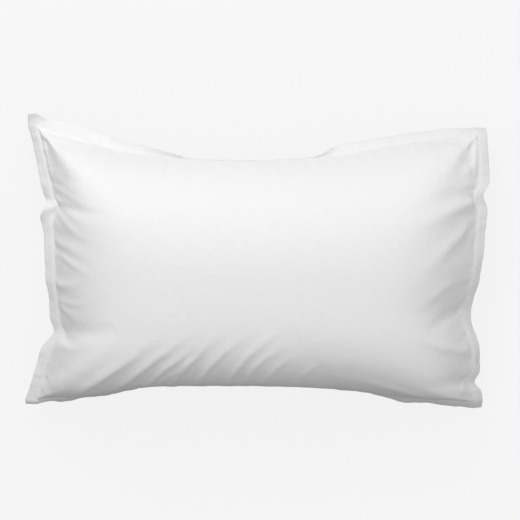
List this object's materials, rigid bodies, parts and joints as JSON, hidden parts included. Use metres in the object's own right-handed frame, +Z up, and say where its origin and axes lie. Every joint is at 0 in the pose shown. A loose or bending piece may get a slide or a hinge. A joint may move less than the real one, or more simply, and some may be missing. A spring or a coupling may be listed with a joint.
{
  "type": "filled pillowcase",
  "caption": "White cotton pillowcase with a narrow topstitched flange all round, filled by its pillow and lying on its back.",
  "frame": {"origin": "centre of the part's box at its base, on the surface that the back panel rests on", "axes": "+X along the long sides, +Y from the lower long side to the upper one as the picture shows them, +Z up, out of the front panel"},
  "size_m": [0.7394, 0.4718, 0.185],
  "materials": {
    "white_cotton": "matt plain-woven cotton"
  },
  "bodies": {
    "root": {"pillowcase": "white_cotton"}
  },
  "joints": []
}
